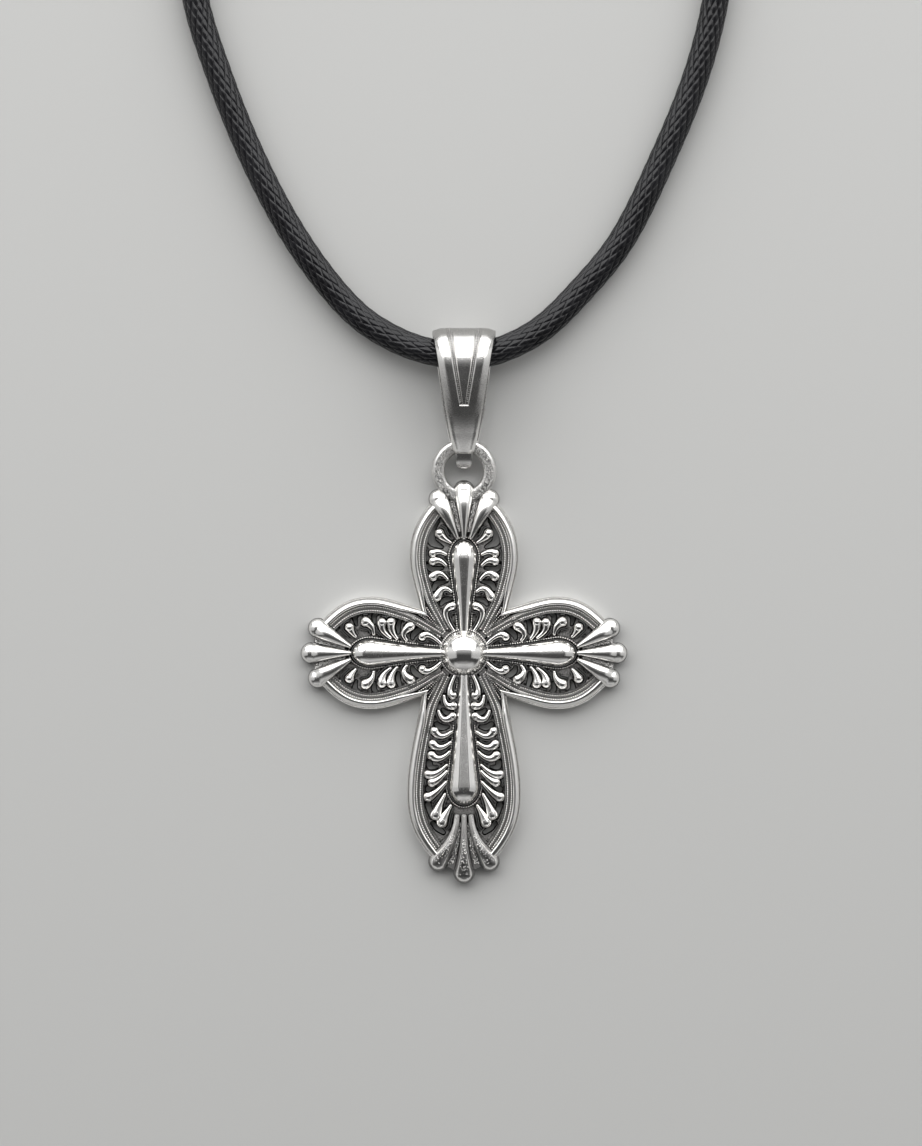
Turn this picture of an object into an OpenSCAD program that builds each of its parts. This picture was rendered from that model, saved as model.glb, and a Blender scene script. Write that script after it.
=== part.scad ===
// Cast openwork cross pendant on a round braided cord, lying on its back with the front up.
// X runs across the arms, Y from the cross's foot to the bail, and Z out of the front face.
// The origin is under the middle of the pendant, on the surface that it rests on.

/* [Cross] */
// Thickness of the pierced plate behind the relief
plate_t = 1.0; // [0.9:0.1:1.2]
// Height of the polished rim round each arm
rim_h = 2.2; // [2:0.1:2.4]
// Width of the polished rim
rim_w = 1.1; // [0.9:0.05:1.2]
// Height of the beaded line inside the rim
bead_h = 1.7; // [1.5:0.1:1.8]
// Width of the beaded line
bead_w = 0.5; // [0.4:0.05:0.6]
// Height of the curved ribs
rib_h = 1.95; // [1.7:0.05:2.2]
// Height of the teardrop bosses
boss_h = 2.9; // [2.5:0.1:3.2]
// Height of the fans' lobes
lobe_h = 2.7; // [2.4:0.1:3]
// Radius of the round boss at the centre
ball_r = 2.5; // [2.3:0.1:2.7]
// Height of the round boss
ball_h = 4.1; // [3.6:0.1:4.4]

/* [Ring] */
// Radius of the ring's hole
ring_in_r = 2.3; // [2.2:0.05:2.4]
// Outer radius of the ring
ring_out_r = 3.88; // [3.8:0.02:3.9]
// Thickness of the ring from front to back
ring_t = 1.5; // [1.3:0.1:1.6]
// Height of the ring's middle above the back
ring_z = 1.5; // [1.5:0.05:1.6]
// How far the ring leans forward at its top, in degrees
ring_lean = 7; // [6:0.5:8]

/* [Bail] */
// Thickness of the folded strap
strap_t = 0.75; // [0.6:0.05:0.75]
// Inner radius of the strap where it turns over the cord
bail_top_r = 2.8; // [2.75:0.05:2.9]
// Inner radius of the strap where it turns under the ring
bail_foot_r = 1.0; // [1:0.05:1.1]
// How much thicker the strap is along its front plate
front_extra = 0.2; // [0.1:0.05:0.3]
// How far the V on the front plate stands proud
vee_h = 0.15; // [0.1:0.05:0.2]

/* [Cord and clasp] */
// Diameter of the cord
cord_d = 3.2; // [3:0.1:3.2]
// Length of the barrel clasp
clasp_len = 22; // [22:1:24]
// Diameter of the barrel clasp
clasp_d = 5.6; // [5:0.1:6]
// Length of the raised collar at each end of the clasp
collar_len = 2; // [1.5:0.25:2.5]

/* [Hidden] */

// An arm is measured from the cross's centre: u runs out along it and v across it.
// Its columns are its turn, where the rims leave the inner corner, their widest place, where
// they meet the fan, the boss's widest place, half width and round end, and the fan's lobes:
// where they meet, the middle one's round end and a side one's round end.
TURN = 0;
CORNER = 1;
BELLY = 2;
END = 3;
BOSS_U = 4;
BOSS_V = 5;
BOSS_END = 6;
FAN_ROOT = 7;
LOBE_MID = 8;
LOBE_SIDE = 9;
top_arm = [90, [5.3, 5.2], [11.55, 6.55], [17.55, 4.4], 11.35, 1.47, 13.45, 13.9, 19.5, [18.5, 3.05]];
right_arm = [0, [5, 5.2], [11.15, 6.75], [16.8, 4.15], 11.15, 1.53, 13.35, 13.75, 18.35, [17.55, 3]];
left_arm = [180, [5, 5.2], [11.15, 6.75], [16.8, 4.15], 11.15, 1.53, 13.35, 13.75, 18.35, [17.55, 3]];
foot_arm = [270, [5.25, 5.08], [16.9, 6.85], [23.95, 4.45], 16.05, 1.72, 18.15, 19.7, 26.45, [25.05, 3.1]];

// Ribs of half an arm. The columns are the tail, the middle, the head and the head's radius.
TAIL = 0;
MID = 1;
HEAD = 2;
HEAD_R = 3;
top_ribs = [
    [[13.3, 1.65], [13.75, 2.35], [14.35, 2.95], 0.45],
    [[11.85, 2.2], [12.15, 3.05], [11.95, 3.75], 0.35],
    [[10.55, 2.2], [11.1, 2.95], [11, 3.75], 0.35],
    [[8.85, 2], [9.55, 2.9], [9.15, 3.7], 0.4],
    [[7.4, 1.55], [7.7, 2.5], [6.7, 3.25], 0.4],
    [[2.7, 1.25], [4.7, 2.2], [5.65, 1.4], 0.35],
];
side_ribs = [
    [[13.05, 2], [13.45, 2.5], [13.75, 3.05], 0.45],
    [[10.65, 2.3], [10.85, 3.15], [11.5, 3.75], 0.5],
    [[8.65, 1.85], [9.4, 2.7], [9.5, 3.65], 0.4],
    [[7.95, 1.75], [8.5, 2.7], [8.55, 3.65], 0.4],
    [[6.9, 1.55], [7.2, 2.4], [6.45, 3.2], 0.45],
    [[2.85, 1.2], [4.15, 2.15], [5, 1.95], 0.35],
];
foot_ribs = [
    [[2.8, 1.15], [4.4, 1.7], [5.1, 1.35], 0.35],
    [[5.2, 2.4], [6.2, 2.05], [6.35, 1.25], 0.35],
    [[7, 3.05], [7.95, 2.4], [7.6, 1.35], 0.35],
    [[9.5, 1.55], [10, 2.7], [9.4, 3.55], 0.4],
    [[10.75, 1.65], [11.35, 2.8], [10.95, 3.75], 0.4],
    [[11.9, 1.75], [12.65, 2.9], [12.3, 3.9], 0.4],
    [[13.5, 2.1], [14.4, 3.25], [14.6, 4.3], 0.4],
    [[14.25, 2.1], [15.15, 3.05], [15.55, 3.85], 0.4],
    [[15.55, 2.2], [16.7, 3.35], [17.3, 4.3], 0.45],
    [[17, 2.3], [18.2, 2.9], [19.45, 3.4], 0.55],
    [[18.35, 1.6], [19.3, 2.15], [20.35, 2.65], 0.55],
];

// Pierced gaps of half an arm, curved round the ribs' heads. Each row is a chain of rounds,
// whose columns are the place and the radius.
PLACE = 0;
RADIUS = 1;
top_gaps = [
    [[[15.85, 3.1], 0.16], [[14.7, 3.75], 0.24], [[13.3, 3.9], 0.52], [[12.75, 2.7], 0.2]],
    [[[10.45, 4.3], 0.28], [[10, 3.95], 0.36], [[10.2, 2.6], 0.16]],
    [[[7.65, 3.65], 0.25], [[8.35, 3.35], 0.36], [[8.6, 2.1], 0.16]],
    [[[5.85, 2.75], 0.2], [[6.35, 2.4], 0.38], [[6.5, 1.5], 0.2]],
];
side_gaps = [
    [[[12.6, 4.7], 0.18], [[13.2, 4.35], 0.34], [[12.95, 3.4], 0.15]],
    [[[10.45, 4.7], 0.18], [[10.9, 4.45], 0.34], [[10.75, 3.6], 0.15]],
    [[[7.7, 3.95], 0.22], [[7.95, 3.2], 0.3], [[7.9, 2.45], 0.18]],
    [[[4.85, 2.9], 0.18], [[5.55, 2.7], 0.36], [[6.15, 2.15], 0.34], [[6.2, 1.75], 0.2]],
];
foot_gaps = [
    [[[6.85, 2.55], 0.2], [[7.3, 2.1], 0.34], [[7.2, 1.6], 0.24]],
    [[[8.6, 3.3], 0.3], [[9.05, 2.7], 0.38], [[8.9, 1.95], 0.2]],
    [[[13.25, 4.2], 0.36], [[13.8, 4.15], 0.36], [[13.75, 3.3], 0.18]],
    [[[16.4, 4.3], 0.36], [[16.15, 3.6], 0.2]],
    [[[18.3, 4.3], 0.38], [[19.8, 3.9], 0.22]],
    [[[20.5, 3.75], 0.24], [[21.1, 3.2], 0.36], [[21.6, 2.5], 0.24]],
];

// Bail's outline seen from the front. The columns are the place along Y and half the width.
front_outline = [[33.3, 3.8], [31.8, 3.45], [28, 2.9], [23.4, 2.15], [19.7, 1.5], [18.6, 1.25], [18.4, 1.15]];
strap_outline = [[33.3, 3.8], [31.8, 3.5], [28, 3.1], [23.4, 2.5], [19.7, 1.75], [18.4, 1], [16.3, 0.85]];
// The V on the front plate, outside and inside
vee_outside = [[33.3, 2.25], [24.2, 0.5]];
vee_inside = [[33.3, 1.45], [25.2, 0.1]];
// The front plate's curve: place along Y on the strap's straight front and how far it stands out there
front_curve = [[19.2, 0.32], [20, 0.52], [21.5, 0.78], [23, 0.9], [25, 0.87], [27, 0.62], [28.4, 0.33]];
// The plane that parts the front plate from the back leg: its height and its rise along Y
front_plane_z = -0.75;
front_plane_rise = 0.15;

// The cord's route, from the clasp round the pendant to the clasp's other end
route = [
    [10, 190, 2.8],
    [19.5, 188.5, 2.3],
    [25.9, 184.1, 1.8],
    [29.7, 177.7, 1.6],
    [31.2, 170, 1.6],
    [31.2, 150, 1.6],
    [31.2, 130, 1.6],
    [31.2, 110, 1.6],
    [31.2, 92, 1.6],
    [31, 81.5, 1.6],
    [30.2, 72.8, 1.6],
    [27.9, 63.8, 1.6],
    [23.9, 53.9, 1.6],
    [18.9, 43.9, 1.6],
    [13.4, 37.2, 1.7],
    [9, 33.1, 2.2],
    [4, 30.6, 3],
    [0, 30, 3.05],
    [-4, 30.5, 3],
    [-8.2, 32, 2.3],
    [-12.7, 34.9, 1.7],
    [-17.2, 39.9, 1.6],
    [-21.7, 46.7, 1.6],
    [-25.8, 54.8, 1.6],
    [-29.4, 63.8, 1.6],
    [-32.2, 72.8, 1.6],
    [-33, 81.5, 1.6],
    [-33, 92, 1.6],
    [-33, 110, 1.6],
    [-33, 130, 1.6],
    [-33, 150, 1.6],
    [-33, 170, 1.6],
    [-31.5, 177.7, 1.6],
    [-27.9, 184.1, 1.8],
    [-21.5, 188.5, 2.3],
    [-12, 190, 2.8],
];

// Places in the pendant
cross_y = -5.6;
ring_y = 21.85;
bail_top_y = 33.2 - strap_t - bail_top_r;
bail_top_z = strap_t + bail_top_r + 0.05;
bail_foot_y = ring_y + cross_y + 1.95;
bail_foot_z = ring_z + (ring_in_r + ring_out_r) / 2 * sin(ring_lean);
bail_middles = [bail_top_y - bail_foot_y, bail_top_z - bail_foot_z];
front_lean = atan2(bail_middles.y, bail_middles.x)
    + acos((bail_foot_r - bail_top_r) / norm(bail_middles)) - 90;

// Relief of the cross. What reaches the back starts below it, and is cut flush at the end.
below = 0.5;
plate_inset = 0.4;
plate_end_inset = 0.9;
plate_root = [-1, 0];
corner_share = [0.97, 0.93];
fan_plate_t = 1.2;
fan_plate_back = 0.25;
fan_plate_inset = 0.12;
lobe_z = 1.1;
lobe_mid_r = 1.2;
lobe_side_r = 1.12;
lobe_root_r = 0.32;
lobe_root_v = 0.9;
lobe_root_drop = 0.6;
rim_root_share = 0.72;
rim_start = [0.3, 0.7];
rim_tuck = [-0.25, 0.65];
hub_side = 4.9;
hub_tip = 6.3;
hub_t = 0.85;
border_w = 0.3;
border_h = 1.4;
border_shift = 0.4;
boss_root_r = 0.5;
boss_root_drop = 0.5;
bead_gap = 0.05;
bead_root = [2.3, 2.35];
rib_tail_share = 0.5;
rib_crown_share = 0.7;
rib_extra_r = 0.13;
rib_bury = 0.2;

// Numbers of flats
edge_steps = 5;
rib_fn = 6;
gap_fn = 6;
lobe_fn = 11;
boss_fn = 14;
ball_fn = 24;
ring_fn = 32;
bail_fn = 48;
clasp_fn = 48;
cord_sides = 8;
cord_steps = 2;

// Vectors and curves
function unit(a) = a / norm(a);
function reversed(list) = [for (i = [len(list) - 1:-1:0]) list[i]];
function mirrored(points) = [for (p = points) [p.x, -p.y]];
function bezier(a, b, c, d, t) =
    pow(1 - t, 3) * a + 3 * pow(1 - t, 2) * t * b + 3 * (1 - t) * t * t * c + pow(t, 3) * d;

// Outer edge of half an arm, from the inner corner over the belly to the fan
function rise(arm) = arm[BELLY] - arm[CORNER];
function fall(arm) = arm[END] - arm[BELLY];
function edge_rise(arm, t) = bezier(
    arm[CORNER],
    arm[CORNER] + [0.34 * rise(arm).x, 0.4 * rise(arm).y],
    arm[BELLY] - [0.34 * rise(arm).x, 0],
    arm[BELLY],
    t
);
function edge_fall(arm, t) = bezier(
    arm[BELLY],
    arm[BELLY] + [0.45 * fall(arm).x, 0],
    arm[END] - [0.28 * fall(arm).x, 0.62 * fall(arm).y],
    arm[END],
    t
);
function edge(arm) = concat(
    [for (i = [0:edge_steps - 1]) edge_rise(arm, i / edge_steps)],
    [for (i = [0:edge_steps]) edge_fall(arm, i / edge_steps)]
);
// Unit vector at point i that turns the line's direction towards the arm's middle
function along(points, i) = unit(points[min(i + 1, len(points) - 1)] - points[max(i - 1, 0)]);
function inwards(points, i) = [along(points, i).y, -along(points, i).x];
function inset(points, by) = [for (i = [0:len(points) - 1]) points[i] + by * inwards(points, i)];

// Faces that join rings of n points each, and close the first and the last
function skin(rings, n) = concat(
    [for (i = [0:rings - 2]) for (k = [0:n - 1])
        [i * n + k, i * n + (k + 1) % n, (i + 1) * n + (k + 1) % n, (i + 1) * n + k]],
    [reversed([for (k = [0:n - 1]) k])],
    [[for (k = [0:n - 1]) (rings - 1) * n + k]]
);

// A moulding: a section of inset and height, swept along a line, and smaller at its start
module moulding(line, section, start = [1, 1]) {
    points = [
        for (i = [0:len(line) - 1]) for (s = section)
            let (share = i == 0 ? start : [1, 1])
            let (p = line[i] + share.x * s.x * inwards(line, i))
                [p.x, p.y, s.y > 0 ? share.y * s.y : s.y]
    ];
    polyhedron(points, skin(len(line), len(section)));
}

// Sections run from the inner foot over the crown to the outer foot
rim_section = [
    [rim_w, -below],
    [rim_w, 0.7 * rim_h],
    [0.84 * rim_w, 0.87 * rim_h],
    [0.5 * rim_w, rim_h],
    [0.16 * rim_w, 0.87 * rim_h],
    [0, 0.66 * rim_h],
    [0, -below],
];
bead_section = [
    [bead_w, 0.5],
    [0.9 * bead_w, bead_h - 0.15],
    [0.5 * bead_w, bead_h],
    [0.1 * bead_w, bead_h - 0.15],
    [0, 0.5],
];

module slab(top) {
    translate([0, 0, -below])
        linear_extrude(top + below)
            children();
}

module both_sides() {
    children();
    mirror([0, 1, 0]) children();
}

module rim(arm) {
    line = concat([rim_root_share * arm[CORNER]], edge(arm), [arm[LOBE_SIDE] + rim_tuck]);
    moulding(line, rim_section, rim_start);
}

module bead_line(arm) {
    line = inset(edge(arm), rim_w + bead_gap);
    moulding(concat([bead_root], line), bead_section);
}

module stud(p, r, h) {
    translate([p.x, p.y, plate_t - rib_bury])
        cylinder(h = h + rib_bury, r1 = r, r2 = rib_crown_share * r, $fn = rib_fn);
}

module rib(row) {
    h = rib_h - plate_t;
    r = row[HEAD_R] + rib_extra_r;
    mean = (1 + rib_tail_share) / 2;
    hull() {
        stud(row[TAIL], rib_tail_share * r, mean * h);
        stud(row[MID], mean * r, h);
    }
    hull() {
        stud(row[MID], mean * r, h);
        stud(row[HEAD], r, h);
    }
}

module gap(row) {
    for (i = [1:len(row) - 1])
        hull()
            for (round = [row[i - 1], row[i]])
                translate(round[PLACE])
                    circle(round[RADIUS], $fn = gap_fn);
}

// An egg-shaped dome with its middle at height z
module dome(u, v, z, long, wide, top, flats) {
    translate([u, v, z])
        scale([long, wide, top - z])
            sphere(1, $fn = flats);
}

module boss(arm) {
    hull() {
        dome(arm[BOSS_U], 0, plate_t, arm[BOSS_END] - arm[BOSS_U], arm[BOSS_V], boss_h, boss_fn);
        dome(ball_r, 0, plate_t, boss_root_r, boss_root_r, boss_h - boss_root_drop, boss_fn);
    }
    slab(border_h)
        hull() {
            translate([arm[BOSS_U] + border_shift, 0])
                circle(arm[BOSS_V] + border_w, $fn = boss_fn);
            translate([ball_r, 0])
                circle(boss_root_r + border_w, $fn = boss_fn);
        }
}

module lobe(root, tip, r) {
    hull() {
        dome(tip.x, tip.y, lobe_z, r, r, lobe_h, lobe_fn);
        dome(root.x, root.y, lobe_z, lobe_root_r, lobe_root_r, lobe_h - lobe_root_drop, lobe_fn);
    }
}

module fan(arm) {
    mid = [arm[LOBE_MID], 0];
    side = arm[LOBE_SIDE];
    lobe([arm[FAN_ROOT], 0], mid, lobe_mid_r);
    both_sides()
        lobe([arm[FAN_ROOT], lobe_root_v], side, lobe_side_r);
    slab(fan_plate_t)
        hull() {
            translate(mid - [fan_plate_back, 0])
                circle(lobe_mid_r - fan_plate_inset, $fn = lobe_fn);
            both_sides()
                translate(side - [fan_plate_back, 0])
                    circle(lobe_side_r - fan_plate_inset, $fn = lobe_fn);
            translate([arm[FAN_ROOT], 0])
                circle(lobe_root_v + lobe_root_r, $fn = lobe_fn);
        }
}

module arm_plate(arm, gaps) {
    line = inset(edge(arm), plate_inset);
    inner = [for (i = [1:len(line) - 2]) line[i]];
    start = [corner_share.x * arm[CORNER].x, corner_share.y * arm[CORNER].y];
    half = concat([start], inner, [[arm[END].x, arm[END].y - plate_end_inset]]);
    slab(plate_t)
        difference() {
            polygon(concat([plate_root], half, reversed(mirrored(half))));
            both_sides()
                for (row = gaps)
                    gap(row);
        }
}

// Joins the arms' plates at the centre, out to the inner corners
module hub() {
    slab(hub_t)
        polygon([
            for (i = [0:7])
                let (r = i % 2 == 0 ? hub_side : hub_tip)
                    [r * cos(45 * i), r * sin(45 * i)]
        ]);
}

module arm(arm, ribs, gaps) {
    rotate(arm[TURN]) {
        arm_plate(arm, gaps);
        both_sides() {
            rim(arm);
            bead_line(arm);
            for (row = ribs)
                rib(row);
        }
        boss(arm);
        fan(arm);
    }
}

module ball() {
    slab(border_h)
        circle(ball_r + border_w, $fn = ball_fn);
    dome(0, 0, ball_h - ball_r, ball_r, ball_r, ball_h, ball_fn);
}

module ring() {
    wire = (ring_out_r - ring_in_r) / 2;
    half = ring_t / 2;
    translate([0, ring_y, ring_z])
        rotate([ring_lean, 0, 0])
            rotate_extrude($fn = ring_fn)
                translate([ring_in_r + wire, 0])
                    polygon([
                        [-wire, -0.5 * half],
                        [-0.6 * wire, -half],
                        [0.6 * wire, -half],
                        [wire, -0.5 * half],
                        [wire, 0.5 * half],
                        [0.6 * wire, half],
                        [-0.6 * wire, half],
                        [-wire, 0.5 * half],
                    ]);
}

module cross() {
    color("silver")
        translate([0, cross_y, 0])
            intersection() {
                union() {
                    arm(top_arm, top_ribs, top_gaps);
                    arm(right_arm, side_ribs, side_gaps);
                    arm(left_arm, side_ribs, side_gaps);
                    arm(foot_arm, foot_ribs, foot_gaps);
                    hub();
                    ball();
                    ring();
                }
                translate([-30, -30, 0])
                    cube([60, 60, 2 * ball_h]);
            }
}

// A place on the loop's front, seen from the side, that stands out from the straight front by rise
function front_place(y, out, rise) = [
    y - rise * sin(front_lean),
    bail_foot_z + rise * cos(front_lean)
        + (bail_foot_r + out + (y - bail_foot_y) * sin(front_lean)) / cos(front_lean)
];

// The strap's loop seen from the side, with its outside or inside at a distance from the inner face
module bail_side(out, curve = []) {
    hull() {
        translate([bail_top_y, bail_top_z])
            circle(bail_top_r + out, $fn = bail_fn);
        translate([bail_foot_y, bail_foot_z])
            circle(bail_foot_r + out, $fn = bail_fn);
        if (len(curve) > 0)
            polygon([for (row = curve) front_place(row.x, out, row.y)]);
    }
}

function across(outline) = concat(
    [for (row = outline) [row.y, row.x]],
    reversed([for (row = outline) [-row.y, row.x]])
);

// The stretch of a strap as thick as out that lies within an outline seen from the front
module strap(out, outline, curve = []) {
    reach = outline[0].y;
    intersection() {
        translate([-reach, 0, 0])
            rotate([90, 0, 90])
                linear_extrude(2 * reach)
                    difference() {
                        bail_side(out, curve);
                        bail_side(0);
                    }
        linear_extrude(4 * bail_top_z)
            children();
    }
}

module front_half() {
    intersection() {
        children();
        translate([-10, 0, 0])
            multmatrix([[1, 0, 0, 0], [0, 1, 0, 0], [0, front_plane_rise, 1, front_plane_z], [0, 0, 0, 1]])
                cube([20, 40, 10]);
    }
}

module bail() {
    color("silver")
        union() {
            strap(strap_t, strap_outline)
                polygon(across(strap_outline));
            front_half()
                strap(strap_t + front_extra, front_outline, front_curve)
                    polygon(across(front_outline));
            front_half()
                strap(strap_t + front_extra + vee_h, front_outline, front_curve)
                    difference() {
                        polygon(across(vee_outside));
                        polygon(across(vee_inside));
                    }
        }
}

// A smooth curve through the route: each point's direction comes from its two neighbours
function chord(i) = norm(route[i + 1] - route[i]);
function heading(i) =
    i == 0 ? [1, 0, 0] :
    i == len(route) - 1 ? [1, 0, 0] :
    (route[i + 1] - route[i - 1]) / (chord(i) + chord(i - 1));
function on_route(i, t) =
    (2 * pow(t, 3) - 3 * t * t + 1) * route[i]
    + (pow(t, 3) - 2 * t * t + t) * chord(i) * heading(i)
    + (3 * t * t - 2 * pow(t, 3)) * route[i + 1]
    + (pow(t, 3) - t * t) * chord(i) * heading(i + 1);
cord_line = concat(
    [for (i = [0:len(route) - 2]) for (k = [0:cord_steps - 1]) on_route(i, k / cord_steps)],
    [route[len(route) - 1]]
);
function cord_heading(i) =
    i == 0 || i == len(cord_line) - 1 ? [1, 0, 0] : unit(cord_line[i + 1] - cord_line[i - 1]);

module cord() {
    points = [
        for (i = [0:len(cord_line) - 1]) for (k = [0:cord_sides - 1])
            let (ahead = cord_heading(i))
            let (side = unit(cross(ahead, [0, 0, 1])))
            let (up = cross(side, ahead))
            let (turn = 360 * k / cord_sides)
                cord_line[i] + cord_d / 2 * (cos(turn) * side + sin(turn) * up)
    ];
    color("black")
        polyhedron(points, skin(len(cord_line), cord_sides));
}

module clasp() {
    middle_x = (route[0].x + route[len(route) - 1].x) / 2;
    half = clasp_len / 2;
    r = clasp_d / 2;
    round_r = 0.15 * r;
    body_r = 0.9 * r;
    seam_r = 0.8 * r;
    seam = 0.3;
    color("silver")
        translate([middle_x, route[0].y, route[0].z])
            rotate([0, 90, 0])
                rotate_extrude($fn = clasp_fn)
                    polygon([
                        [0, -half],
                        [r - round_r, -half],
                        [r, round_r - half],
                        [r, collar_len - half],
                        [body_r, collar_len + seam - half],
                        [body_r, -2 * seam],
                        [seam_r, -seam],
                        [seam_r, seam],
                        [body_r, 2 * seam],
                        [body_r, half - collar_len - seam],
                        [r, half - collar_len],
                        [r, half - round_r],
                        [r - round_r, half],
                        [0, half],
                    ]);
}

cross();
bail();
cord();
clasp();
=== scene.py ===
import math
import random
from collections import namedtuple

import bmesh
import bpy
import numpy as np
from mathutils import Matrix, Vector


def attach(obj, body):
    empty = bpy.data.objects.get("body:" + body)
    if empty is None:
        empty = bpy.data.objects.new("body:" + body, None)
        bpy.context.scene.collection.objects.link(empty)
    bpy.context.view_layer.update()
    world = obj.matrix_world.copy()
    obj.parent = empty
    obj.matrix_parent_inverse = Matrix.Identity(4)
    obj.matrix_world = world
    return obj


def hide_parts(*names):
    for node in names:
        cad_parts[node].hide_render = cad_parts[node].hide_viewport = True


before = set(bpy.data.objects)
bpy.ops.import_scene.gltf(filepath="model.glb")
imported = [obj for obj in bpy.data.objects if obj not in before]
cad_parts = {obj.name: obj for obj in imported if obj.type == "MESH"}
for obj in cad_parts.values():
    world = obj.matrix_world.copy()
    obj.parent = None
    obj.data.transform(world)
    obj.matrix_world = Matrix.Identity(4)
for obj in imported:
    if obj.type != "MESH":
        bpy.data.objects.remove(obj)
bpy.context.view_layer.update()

MM = 0.001
PI = math.pi
random.seed(7)

# Sizes in mm, as in the CAD source
CROSS_Y = -5.6
PLATE_T = 1.0
RIB_H = 1.95
BOSS_H = 2.9
LOBE_H = 2.7
BALL_R, BALL_H = 2.5, 4.1
RING_IN, RING_OUT, RING_T = 2.3, 3.88, 1.5
RING_Y, RING_Z, RING_LEAN = 21.85 + CROSS_Y, 1.5, math.radians(7)
BAIL_END_Y = 33.2
STRAP_T, BAIL_TOP_R, BAIL_FOOT_R, FRONT_EXTRA = 0.75, 2.8, 1.0, 0.2
BAIL_TOP = (BAIL_END_Y - STRAP_T - BAIL_TOP_R, STRAP_T + BAIL_TOP_R + 0.05)
BAIL_FOOT = (RING_Y + 1.95, RING_Z + (RING_IN + RING_OUT) / 2 * math.sin(RING_LEAN))
CORD_D = 3.2
GAP_RIM = 0.1
# Where raised forms start, inside the plate, and how far thin lines go down into what they lie on
SUNK_Z = PLATE_T - 0.2
LINE_SUNK = 0.1

# One arm: its turn; its edge's corner, belly and end; its boss's widest place, half width there and stretch
# of the end; its fan's root, tips of the middle and side lobes, how late a lobe widens, its outline's width
# and half its width at the root; and how many beads lie on each lobe
Arm = namedtuple("Arm", "turn corner belly end boss_at boss_half boss_stretch"
                        " fan_root mid_tip side_tip flare outline lobe_root lobe_beads")
SIDE_ARM = ((5, 5.2), (11.15, 6.75), (16.8, 4.15), 11.15, 1.53, 1.42,
            13.75, 18.35, (17.55, 3.0), 0.95, 0.08, 0.26, 0)
ARMS = {
    "top": Arm(90, (5.3, 5.2), (11.55, 6.55), (17.55, 4.4), 11.35, 1.47, 1.4,
               13.9, 19.5, (18.5, 3.05), 1.1, 0.08, 0.26, 0),
    "right": Arm(0, *SIDE_ARM),
    "left": Arm(180, *SIDE_ARM),
    "foot": Arm(270, (5.25, 5.08), (16.9, 6.85), (23.95, 4.45), 16.05, 1.72, 1.2,
                19.7, 26.45, (25.05, 3.1), 2.0, 0.24, 0.34, 90),
}
# Ribs on half an arm: tail, middle, head and the head's radius
TOP_RIBS = [
    ((13.3, 1.65), (13.75, 2.35), (14.35, 2.95), 0.45),
    ((11.85, 2.2), (12.15, 3.05), (11.95, 3.75), 0.35),
    ((10.55, 2.2), (11.1, 2.95), (11, 3.75), 0.35),
    ((8.85, 2), (9.55, 2.9), (9.15, 3.7), 0.4),
    ((7.4, 1.55), (7.7, 2.5), (6.7, 3.25), 0.4),
    ((2.7, 1.25), (4.7, 2.2), (5.65, 1.4), 0.35),
]
SIDE_RIBS = [
    ((13.05, 2), (13.45, 2.5), (13.75, 3.05), 0.45),
    ((10.85, 2.3), (11.1, 3.15), (11.8, 3.75), 0.5),
    ((8.85, 1.85), (9.7, 2.7), (9.85, 3.65), 0.42),
    ((8.05, 1.75), (8.65, 2.7), (8.75, 3.7), 0.42),
    ((6.9, 1.55), (7.2, 2.4), (6.45, 3.2), 0.45),
    ((2.85, 1.2), (4.15, 2.15), (5, 1.95), 0.35),
]
FOOT_RIBS = [
    ((2.8, 1.15), (4.4, 1.7), (5.1, 1.35), 0.35),
    ((5.2, 2.4), (6.2, 2.05), (6.35, 1.25), 0.35),
    ((7, 3.05), (7.95, 2.4), (7.6, 1.35), 0.35),
    ((9.5, 1.55), (10, 2.7), (9.4, 3.55), 0.4),
    ((10.75, 1.65), (11.35, 2.8), (10.95, 3.75), 0.4),
    ((11.9, 1.75), (12.65, 2.9), (12.3, 3.9), 0.4),
    ((13.5, 2.1), (14.4, 3.25), (14.6, 4.3), 0.4),
    ((14.25, 2.1), (15.15, 3.05), (15.55, 3.85), 0.4),
    ((15.55, 2.2), (16.7, 3.35), (17.3, 4.3), 0.45),
    ((17, 2.3), (18.2, 2.9), (19.45, 3.4), 0.55),
    ((18.35, 1.6), (19.3, 2.15), (20.35, 2.65), 0.55),
]
# Gaps through half an arm: chains of rounds, each a place and a radius
TOP_GAPS = [
    [((15.85, 3.1), 0.16), ((14.7, 3.75), 0.24), ((13.3, 3.9), 0.52), ((12.75, 2.7), 0.2)],
    [((10.45, 4.3), 0.28), ((10, 3.95), 0.36), ((10.2, 2.6), 0.16)],
    [((7.65, 3.65), 0.25), ((8.35, 3.35), 0.36), ((8.6, 2.1), 0.16)],
    [((5.85, 2.75), 0.2), ((6.35, 2.4), 0.38), ((6.5, 1.5), 0.2)],
]
SIDE_GAPS = [
    [((12.6, 4.7), 0.18), ((13.2, 4.35), 0.34), ((12.95, 3.4), 0.15)],
    [((10.45, 4.7), 0.18), ((10.9, 4.45), 0.34), ((10.75, 3.6), 0.15)],
    [((7.7, 3.95), 0.22), ((7.95, 3.2), 0.3), ((7.9, 2.45), 0.18)],
    [((4.85, 2.9), 0.18), ((5.55, 2.7), 0.36), ((6.15, 2.15), 0.34), ((6.2, 1.75), 0.2)],
]
FOOT_GAPS = [
    [((6.85, 2.55), 0.2), ((7.3, 2.1), 0.34), ((7.2, 1.6), 0.24)],
    [((8.6, 3.3), 0.3), ((9.05, 2.7), 0.38), ((8.9, 1.95), 0.2)],
    [((13.25, 4.2), 0.36), ((13.8, 4.15), 0.36), ((13.75, 3.3), 0.18)],
    [((16.4, 4.3), 0.36), ((16.15, 3.6), 0.2)],
    [((18.3, 4.3), 0.38), ((19.8, 3.9), 0.22)],
    [((20.5, 3.75), 0.24), ((21.1, 3.2), 0.36), ((21.6, 2.5), 0.24)],
]
RIBS = {"top": TOP_RIBS, "right": SIDE_RIBS, "left": SIDE_RIBS, "foot": FOOT_RIBS}
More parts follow.
